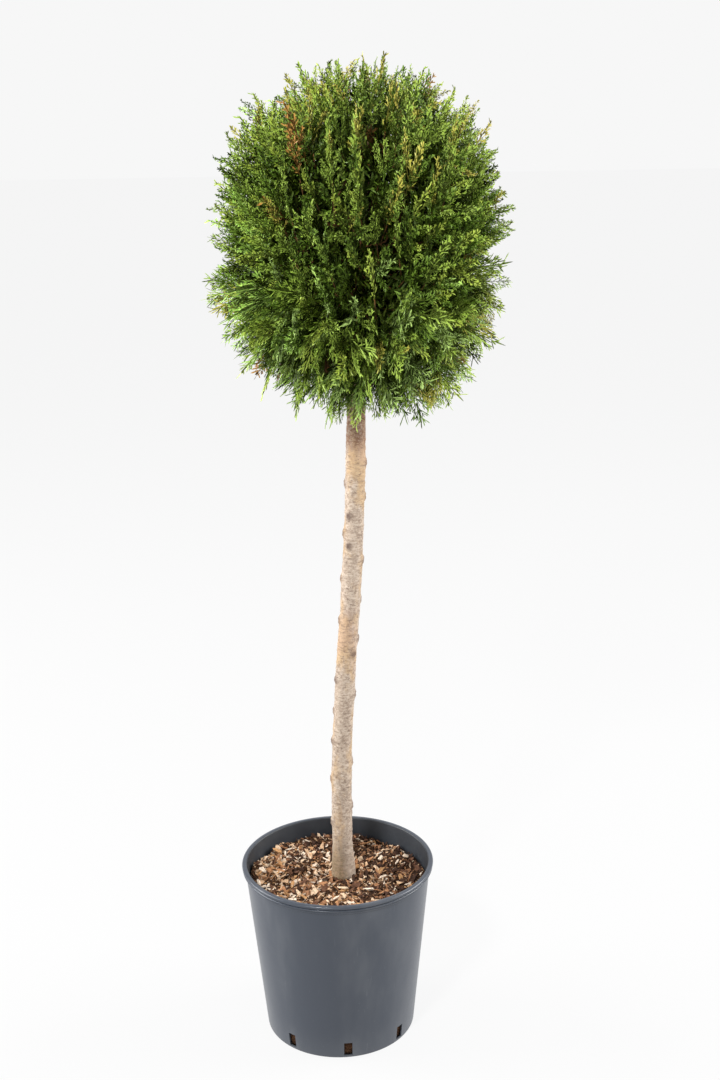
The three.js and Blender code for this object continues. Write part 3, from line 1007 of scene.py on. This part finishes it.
# %% Shape one spray
class Spray:
    """Blades on shoots on one axis, which grows along +X with its face up."""

    def __init__(self, seed, habit):
        self.dice = random.Random(seed)
        self.habit = HABITS[habit]
        self.points = []
        self.faces = []
        self.tips = []
        self.grow()

    def blade(self, base, way, across, length, width, tip=False):
        """A rod with a pointed end, folded like a roof, and the place of its tip."""
        up = np.cross(way, across)
        roll = up * self.dice.uniform(-BLADE_ROLL, BLADE_ROLL) * width
        drop = up * BLADE_RIDGE * width
        half = across * width / 2
        first = len(self.points)
        end = base + way * length
        self.points += [base, end]
        for share, swell in BLADE_SWELL:
            middle = base + way * length * share - drop
            self.points += [middle - (half + roll) * swell, middle + (half + roll) * swell]
        self.faces += [tuple(first + corner for corner in face) for face in BLADE_FACES]
        self.tips += [tip] * len(BLADE_FACES)
        return end

    def branch_off(self, way, across, angle, tilt):
        """A new way and its cross way: turned in the plane, then tilted out of it."""
        new_way = turned(way, np.cross(way, across), angle)
        new_way = turned(new_way, way, tilt)
        up = turned(np.cross(way, across), way, tilt)
        return new_way, np.cross(up, new_way)

    def shoot(self, base, way, across, length, width, lean, forks):
        """Blades end to end on a slightly curved line, with forks to both sides."""
        habit, dice = self.habit, self.dice
        beads = max(1, round(length / habit["bead"]))
        piece = length / beads
        side = dice.choice((-1, 1))
        place = np.array(base, dtype=float)
        for bead in range(beads):
            if forks:
                for _ in range(2):
                    angle = side * radians(dice.uniform(*habit["fork_angle"]))
                    tilt = radians(dice.gauss(0, habit["tilt"]))
                    new_way, new_across = self.branch_off(way, across, angle, tilt)
                    small = dice.uniform(*habit["fork"]) * (1 - 0.45 * bead / beads)
                    start = place + way * piece * dice.uniform(0.0, 0.6)
                    # A blade takes the lighter tip green by chance: partly younger leaves, partly painted
                    # light.
                    young_and_lit = dice.random() < habit["young_and_lit"]
                    self.blade(start, new_way, new_across, small, width * 0.95, young_and_lit)
                    side = -side
            young_and_lit = forks and bead == beads - 1 and dice.random() < habit["young_and_lit"]
            tip = self.blade(place, way, across, piece * 1.2, width, young_and_lit)
            place = tip - BLADE_SWELL[0][0] * piece * way
            way, across = self.branch_off(way, across, lean / beads, 0.0)

    def grow(self):
        """The axis, then its side shoots from the foot up, to the left and right by turns."""
        habit, dice = self.habit, self.dice
        length = habit["length"]
        way, across = np.array([1.0, 0, 0]), np.array([0, 1.0, 0])
        self.shoot(np.zeros(3), way, across, length, habit["blade"], 0.0, False)
        side = dice.choice((-1, 1))
        for index in range(habit["shoots"]):
            share = (index + dice.uniform(0.3, 0.9)) / habit["shoots"]
            widen = min(1.0, 0.5 + 2.2 * share)
            reach = length * habit["reach"] * widen * (1 - share) ** 0.6 * dice.uniform(*SHOOT_SPREAD)
            angle = habit["wide"] + (habit["close"] - habit["wide"]) * share + dice.uniform(-5, 5)
            roll = radians(dice.gauss(0, habit["roll"]))
            new_way, new_across = self.branch_off(way, across, side * radians(angle), roll)
            lean = -side * radians(dice.uniform(*SHOOT_LEAN))
            forks = dice.random() < habit["forked"]
            start, reach = (share * length, 0, 0), max(reach, SHORTEST_SHOOT)
            self.shoot(start, new_way, new_across, reach, habit["blade"], lean, forks)
            side = -side

    def mesh(self, name):
        """The spray bent lengthways and curled across, as mesh."""
        points = np.array(self.points)
        length = self.habit["length"]
        along, across = points[:, 0] / length, points[:, 1] / length
        bend = self.dice.uniform(*self.habit["bend"])
        curl = self.dice.uniform(-1, 1)
        points[:, 2] -= length * (0.16 * bend * along**2 + 0.16 * abs(bend) * across**2)
        points[:, 1] += length * 0.08 * curl * along**2
        made = bpy.data.meshes.new(name)
        made.from_pydata(points.tolist(), [], self.faces)
        store(made, "tip", "BOOLEAN", self.tips, "FACE")
        return made


# %% Shape twenty sprays
FANS, PLUMES, FILLERS = range(0, 8), range(8, 16), range(16, 20)
spray_meshes = []
for habit, seeds in zip(HABITS, (FANS, PLUMES, FILLERS)):
    spray_meshes += [Spray(seed, habit).mesh(habit + "_spray") for seed in seeds]
print("faces of a fan, a plume, a filler", [len(spray_meshes[k].polygons) for k in (0, 8, 16)])

# %% [markdown]
# ## Leaf colours
# The plant's greens have places: olive and straw at the sunny top, rusty twigs on one side,
# deeper green on the shaded side, grey-green on the hanging skirt and a few fresh shoots low
# down. That deeper green and the darkest greens deep in the crown, at the feet of the fronds and
# in the gaps are painted shade. Each spray gets one plain colour, picked by chance with odds that
# depend on where it is.

# %% Mix the greens
LEAF_TONES = {
    "leaf_deep": (0.026, 0.042, 0.003),
    "leaf_shade": (0.08, 0.135, 0.015),
    "leaf_green": (0.19, 0.27, 0.04),
    "leaf_moss": (0.24, 0.305, 0.045),
    "leaf_olive": (0.285, 0.27, 0.045),
    "leaf_straw": (0.32, 0.285, 0.055),
    "leaf_fresh": (0.32, 0.47, 0.11),
    "leaf_sage": (0.21, 0.3, 0.08),
    "leaf_rust": (0.27, 0.145, 0.035),
}
# The tips of a spray are lighter than its axis and shine more: partly younger leaves, partly painted light
# on the tips and painted shade on the axis.
AXIS_SHARE, TIP_SHARE = 0.38, 1.72
AXIS_SHEEN, TIP_SHEEN = 0.1, 0.36
leaf_names = list(LEAF_TONES)


def leaf_finish(name, tone, share, sheen):
    """Leaves of one plain green."""
    leaf = Finish(name, tuple(min(0.85, share * c) for c in tone), 0.45)
    leaf.set("Specular IOR Level", sheen * min(1.0, 8 * tone[1]))
    return leaf


leaf_finishes = [leaf_finish(n, t, AXIS_SHARE, AXIS_SHEEN) for n, t in LEAF_TONES.items()]
tip_finishes = [leaf_finish(n + "_tip", t, TIP_SHARE, TIP_SHEEN) for n, t in LEAF_TONES.items()]
print(len(leaf_finishes), "greens, each with a lighter one for the tips")


def odds_of(height, right, inside):
    """Odds of each green. height and right run from -1 to 1 over the crown, inside from 0 in."""
    top = max(0.0, height)
    low = max(0.0, -height)
    lit = max(0.0, 1 - 6 * inside)
    # The deep and shade greens grow likelier with inside and on the shaded side: painted shade.
    odds = {
        "leaf_deep": 0.04 + 17.0 * max(0.0, inside - 0.04),
        "leaf_shade": 0.4 + 0.4 * max(0.0, -right) * (1 - top) + 0.5 * top + 5.0 * inside,
        "leaf_green": 1.2,
        "leaf_moss": (0.7 + 0.5 * top) * lit,
        "leaf_olive": (0.08 + 0.9 * top * (0.6 + 0.6 * right) + 0.15 * max(0.0, right)) * lit,
        "leaf_straw": (0.04 + 0.2 * top) * lit,
        "leaf_fresh": (0.02 + 4.0 * min(low + 0.1, 0.5) * max(0.0, -right) ** 1.5) * lit,
        "leaf_sage": 1.4 * low * (0.3 + 0.7 * lit),
        "leaf_rust": 0.6 * top * max(0.0, right) + 0.02,
    }
    return [odds[name] for name in leaf_names]


# %% [markdown]
# ## Fronds
# A frond is a twig with a fan at its end and smaller fans to both sides, all in one plane. The
# crown is grown outside in, as a gardener sees it: first the clipped surface is dotted with frond
# tips, then each frond is set with its own lean. In the upper crown fronds stand on edge and
# point up and out, and on the skirt they lie flat and hang.

# %% Measure the clipped surface
def outward(point):
    """The way out of the egg at a point."""
    way = (np.asarray(point) - crown_centre) / crown_half**2
    return way / norm(way)


shell_points, shell_faces = [], []
for node in masses:
    points, faces = corners_of(node)
    shell_faces += (faces + len(shell_points)).tolist()
    shell_points += points.tolist()
shell = BVHTree.FromPolygons(shell_points, shell_faces)


def reach_towards(point):
    """How far the clipped surface is from the middle of the crown, on the way through a point."""
    way = Vector(point - crown_centre).normalized()
    hit = shell.ray_cast(Vector(crown_centre) + way, -way)[0]
    return (hit - Vector(crown_centre)).length if hit else crown_half.min()


print("clipped surface of", len(shell_faces), "faces")

# %% Mark the gaps
# Where the front of the crown parts and its shade shows: across, height, and half sizes.
GAPS = [
    (0.076, 1.29, 10 * MM, 52 * MM),
    (0.066, 1.185, 11 * MM, 42 * MM),
    (-0.085, 1.185, 20 * MM, 28 * MM),
    (0.12, 1.23, 10 * MM, 30 * MM),
]
GAP_MARGIN, GAP_BARE = 1.9, 0.56


def gap_shade(point):
    """How deep in a gap a point of the front is, from 0 outside its margin to 1 in its middle."""
    if point[1] > crown_centre[1] - 0.25 * crown_half[1]:
        return 0.0
    deepest = 0.0
    for across, height, half_across, half_height in GAPS:
        off = hypot((point[0] - across) / half_across, (point[2] - height) / half_height)
        deepest = max(deepest, 1 - off / GAP_MARGIN)
    return deepest


print("gaps in front", len(GAPS))

# %% Dot the clipped surface with frond tips
# Layers from the surface in: how far out a tip sits, and how far from its neighbours.
LAYERS = [(1.0, 35 * MM), (0.77, 40 * MM), (0.5, 44 * MM)]
CLOSER_ABOVE = 0.84
TRIES = 900
FACES_OUT = 0.55

growth = random.Random(21)


def dot_surface(node, spacing, taken, share):
    """Points strewn on the outer faces of a mass, none nearer than spacing to another."""
    points, faces = corners_of(node)
    a, b, c = (points[faces[:, k]] for k in range(3))
    normals = np.cross(b - a, c - a)
    areas = norm(normals, axis=1) / 2
    middles = (a + b + c) / 3
    ways = np.array([outward(m) for m in middles])
    faces_out = (normals * ways).sum(1) / (2 * areas + 1e-12)
    areas = np.where(faces_out > FACES_OUT, areas, 0.0)
    chosen = []
    for index in growth.choices(range(len(areas)), weights=areas.tolist(), k=TRIES):
        u, v = growth.random(), growth.random()
        if u + v > 1:
            u, v = 1 - u, 1 - v
        point = a[index] + u * (b[index] - a[index]) + v * (c[index] - a[index])
        point = crown_centre + (point - crown_centre) * share
        in_gap = share == 1.0 and gap_shade(point) > GAP_BARE
        if not in_gap and all(norm(point - other) > spacing for other in taken):
            taken.append(point)
            chosen.append(point)
    return chosen


frond_tips = []
for layer, (share, spacing) in enumerate(LAYERS):
    taken = []
    for node in masses:
        apart = spacing if "lower" in node else spacing * CLOSER_ABOVE
        frond_tips += [(node, layer, tip) for tip in dot_surface(node, apart, taken, share)]
    print("layer", layer, "holds", len(taken), "fronds")

# %% Choose how the fronds stand
FROND_LENGTH = 108 * MM
FROND_SIZES, SPRAY_SIZES = (0.85, 1.12), (0.9, 1.08)
SPRAY_REACH = 70 * MM
# Lean of a frond above level, for the lean of the surface it ends on. Both are in degrees.
SURFACE_LEAN = [-90, -50, -25, -8, 8, 45, 90]
FROND_LEAN = [-84, -56, -30, 4, 32, 64, 84]
# How far its plane is turned from upright to flat.
FROND_ROLL = [80, 64, 32, 14, 8, 8, 30]
# Between these leans of the surface, fans give way to plumes.
PLUMES_FROM = (-22, 4)
# The streaks of upright plumes reach lower in front.
FRONT_LIFT = 22
# Where along a frond its side sprays leave it, where they do on one of the shade, and where the
# last one starts. Side sprays leave at these angles.
SIDE_SHARES = (0.12, 0.26, 0.4, 0.52, 0.64)
FILLER_SHARES = (0.1, 0.3, 0.5)
END_SHARE = 1 - 0.64
SIDE_ANGLES = (30, 44)
# How much painted shade a frond gets towards its foot, and a gap towards its middle.
FOOT_SHADE, GAP_SHADE = 0.11, 0.1
# How far a frond and a spray may stray out of the clipped surface, and how far in they keep.
FROND_STRAY, SPRAY_STRAY, KEEP_IN = 21 * MM, 5 * MM, 10 * MM
# The shears leave square shoulders: how much further out fronds reach there.
SHOULDER, SHOULDER_AT, SHOULDER_SPREAD = 11 * MM, 0.72, 0.2
SKIRT_IN = 8 * MM
print("fronds", FROND_LENGTH, "m long with", 1 + len(SIDE_SHARES), "sprays each")


# %% Set one frond
def frond_frame(tip):
    """The way a frond grows to its tip, the way its flat face looks, and its lean."""
    out = outward(tip)
    level = np.array([out[0], out[1], 0.0])
    if norm(level) < 0.15:
        level = level + np.array([cos(growth.uniform(0, 7)), sin(growth.uniform(0, 7)), 0])
    level /= norm(level)
    level = turned(level, (0, 0, 1), radians(growth.gauss(0, 11)))
    front = max(0.0, -level[1]) ** 4
    surface = degrees(asin(out[2])) + 0.8 * FRONT_LIFT * front
    surface = min(90.0, surface)
    lean = radians(np.interp(surface, SURFACE_LEAN, FROND_LEAN) + growth.gauss(0, 8))
    way = level * cos(lean) + np.array([0, 0, sin(lean)])
    edge = np.cross(way, [0.0, 0.0, 1.0])
    edge /= norm(edge) + 1e-9
    roll = radians(np.interp(surface, SURFACE_LEAN, FROND_ROLL) + growth.gauss(0, 16))
    if surface > 0 and growth.random() < 0.4:
        roll = -roll
    face = turned(edge, way, -roll)
    if face[2] < 0 and surface < 0:
        face = -face
    return way, face, surface


def spray_shape(layer, surface):
    """The number of a spray shape that suits its place."""
    if layer > 0:
        return growth.choice(FILLERS)
    upright = np.interp(surface, PLUMES_FROM, (0.0, 1.0))
    return growth.choice(PLUMES if growth.random() < upright else FANS)


def set_frond(tip, layer):
    """A frond's sprays, its foot and its way."""
    way, face, surface = frond_frame(tip)
    size = growth.uniform(*FROND_SIZES)
    length = FROND_LENGTH * size
    upward = max(0.0, sin(radians(surface)))
    downward = max(0.0, -sin(radians(surface)))
    stray = FROND_STRAY * (1 - 0.6 * upward) * growth.random() ** 3 - KEEP_IN * (1 - 0.7 * upward)
    stray += SHOULDER * exp(-(((upward - SHOULDER_AT) / SHOULDER_SPREAD) ** 2)) - SKIRT_IN * downward
    foot = tip + way * (stray + growth.gauss(0, 2 * MM) - length)
    side = np.cross(face, way)
    hand = growth.choice((-1, 1))
    plan = [(END_SHARE, 0, 0, 1.0)]
    for share in FILLER_SHARES if layer else SIDE_SHARES:
        angle = radians(growth.uniform(*SIDE_ANGLES))
        plan.append((share, hand, angle, 0.92 - 0.4 * share))
        hand = -hand
    sprays = []
    for share, hand, angle, scale in plan:
        base = foot + way * length * share
        out = way * cos(angle) + side * sin(angle) * hand
        look = turned(face, out, growth.gauss(0, 0.25))
        across = np.cross(look, out)
        turn = Matrix((out, across, look)).transposed().to_euler()
        scale = scale * size * growth.uniform(*SPRAY_SIZES)
        end = base + out * scale * SPRAY_REACH
        limit = reach_towards(end) + stray + SPRAY_STRAY * growth.random()
        off = norm(end - crown_centre)
        if off > limit:
            base = base - (end - crown_centre) / off * (off - limit)
            off = limit
        # inside sets the painted shade: sprays deeper in the crown, low on a frond and in a gap get darker
        # greens.
        below = 0.0 if share == END_SHARE else FOOT_SHADE * (1 - share) ** 1.5
        inside = 1 - off / limit + below + GAP_SHADE * gap_shade(end)
        sprays.append((base, tuple(turn), scale, spray_shape(layer, surface), inside))
    return sprays, foot, way


# %% Set all the fronds
frond_sprays = {node: [] for node in masses}
frond_feet = {node: [] for node in masses}
for node, layer, tip in frond_tips:
    sprays, foot, way = set_frond(tip, layer)
    frond_sprays[node] += sprays
    frond_feet[node].append((foot, way, tip))
print(sum(map(len, frond_sprays.values())), "sprays")

# %% [markdown]
# ## Branches and twigs
# The feet of the fronds are gathered into handfuls, and each handful gets a branch from the end
# of its mass's bough. Twigs then carry on from the branch to each foot and up the frond. Every
# limb leaves along the one before it and arrives along the one after, so the forks look grown.

# %% Join the fronds to the boughs
TWIG_SIDES = 5
HANDFUL = 5
# Radii: of a branch at its end, and of a twig and of a frond's spine at both ends.
BRANCH_END = 2.0 * MM
TWIG_THICK = 1.7 * MM, 1.2 * MM
SPINE_THICK = 1.1 * MM, 0.6 * MM
LEADER_TWIG = 3.2 * MM
# How far along a branch its twigs part, and how far up a frond its spine runs, in steps.
KNEE_SHARE, SPINE_SHARES = 0.62, (0, 0.15, 0.35)


def sweep(start, leave, end, arrive, steps):
    """Points on a smooth limb that leaves one way and arrives another."""
    reach = norm(end - start)
    leave = leave / norm(leave) * reach
    arrive = arrive / norm(arrive) * reach
    t = np.linspace(0, 1, steps)[:, None]
    return (
        (2 * t**3 - 3 * t**2 + 1) * start
        + (t**3 - 2 * t**2 + t) * leave
        + (3 * t**2 - 2 * t**3) * end
        + (t**3 - t**2) * arrive
    )


def gather(feet, count):
    """Splits fronds into handfuls whose feet lie close together."""
    places = np.array([foot for foot, way, tip in feet])
    middles = places[:: max(1, len(places) // count)][:count]
    for _ in range(6):
        owner = norm(places[:, None] - middles[None], axis=2).argmin(1)
        middles = np.array([
            places[owner == k].mean(0) if (owner == k).any() else middles[k] for k in range(len(middles))
        ])
    return [[feet[i] for i in np.flatnonzero(owner == k)] for k in range(len(middles))]


def add_limb(points, faces, path, thick, thin):
    """Adds a round limb to the lists of a mesh."""
    faces += capped_faces(len(path), TWIG_SIDES, len(points))
    points += limb_skin(path, np.linspace(thick, thin, len(path)), TWIG_SIDES)


twig_pieces = []
for node in masses:
    feet, points, faces = frond_feet[node], [], []
    for handful in gather(feet, max(1, round(len(feet) / HANDFUL))):
        if not handful:
            continue
        middle = np.mean([foot for foot, way, tip in handful], axis=0)
        if node in bough_tips:
            start, leave, thick = bough_tips[node]
        else:
            height = min(middle[2] - 20 * MM, stem_tip - 12 * MM)
            start, leave, thick = stem_at(height), np.array([0, 0, 1.0]), LEADER_TWIG
        knee = start + (middle - start) * KNEE_SHARE
        add_limb(points, faces, sweep(start, leave, knee, middle - start, 7), thick * 0.9, BRANCH_END)
        for foot, way, tip in handful:
            add_limb(points, faces, sweep(knee, middle - start, foot, way, 6), *TWIG_THICK)
            spine = np.array([foot + (tip - foot) * share for share in SPINE_SHARES])
            add_limb(points, faces, spine, *SPINE_THICK)
    twig_pieces.append(make_piece(node.replace("foliage_", "twigs_"), points, faces, [rusty_bark]))
print("twigs", sum(len(piece.data.polygons) for piece in twig_pieces), "faces")

# %% [markdown]
# ## Leaves
# Each mass's sprays are kept as points that hold a turn, a size, a shape and a green. One tree
# then puts the shapes on the points, as for the chips.

# %% Put sprays on the points
PATCH_SCALE = 13

leafing = Recipe("leaf_sprays")
spray_shapes = leafing.dial("Shapes", "Collection")
spray_size = leafing.dial("Size", "Float", 1.0)
spray_spread = leafing.dial("Size spread", "Float", 0.06)
spray_seed = leafing.dial("Seed", "Int", 3)
jitter = 1 + leafing.random("FLOAT", -1.0, 1.0, spray_seed, 0) * spray_spread
shape, green = leafing.named("shape", "INT"), leafing.named("green", "INT")
turn = leafing.named("turn", "FLOAT_VECTOR")
size = leafing.named("size", "FLOAT") * spray_size * jitter
leafing.finish_each(
    leafing.start, spray_shapes, shape, turn, size, leaf_finishes, green, tip_finishes)

spray_box = box_of_shapes("spray_shapes", spray_meshes)


def pick_green(base, inside):
    """The number of the green for a spray."""
    at = (base - crown_centre) / crown_half
    patch = noise.noise(Vector(base) * PATCH_SCALE)
    odds = odds_of(at[2] + 0.25 * patch, at[0] + 0.3 * patch, max(0.0, inside))
    return growth.choices(range(len(leaf_names)), weights=odds)[0]


leaf_pieces = []
for node in masses:
    sprays = frond_sprays[node]
    cloud = bpy.data.meshes.new(node)
    bases, turns, sizes, shapes, insides = zip(*sprays)
    cloud.from_pydata([tuple(base) for base in bases], [], [])
    store(cloud, "turn", "FLOAT_VECTOR", [value for turn in turns for value in turn])
    store(cloud, "size", "FLOAT", sizes)
    store(cloud, "shape", "INT", shapes)
    store(cloud, "green", "INT", [pick_green(base, inside) for base, inside in zip(bases, insides)])
    piece = show(node.replace("foliage_", "leaves_"), cloud)
    use_recipe(piece, leafing, shapes=spray_box, size=1.0, seed=3)
    leaf_pieces.append((node, piece))
clear_box(spray_box)
leaf_faces = [len(piece.data.polygons) for _, piece in leaf_pieces]
print("leaves", sum(leaf_faces), "faces, most in one piece", max(leaf_faces))

# %% [markdown]
# ## Bind the pieces to the model
# Every piece moves with the model's one body, and the model's solids that it covers are hidden.

# %% Bind the pieces and hide the solids they cover
covers = [(pot, "pot_plastic", "pot"), (bed, "bark_compost", "compost")]
covers += [(chips, "bark_compost", "compost"), (stem_piece, "stem_bark", "stem")]
covers += [(piece, "stem_bark", node) for node, piece in bough_pieces]
covers += [(piece, "stem_bark", None) for piece in twig_pieces]
covers += [(piece, "foliage", node) for node, piece in leaf_pieces]
for piece, slot, node in covers:
    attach(piece, "root")
    if node:
        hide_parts(node)
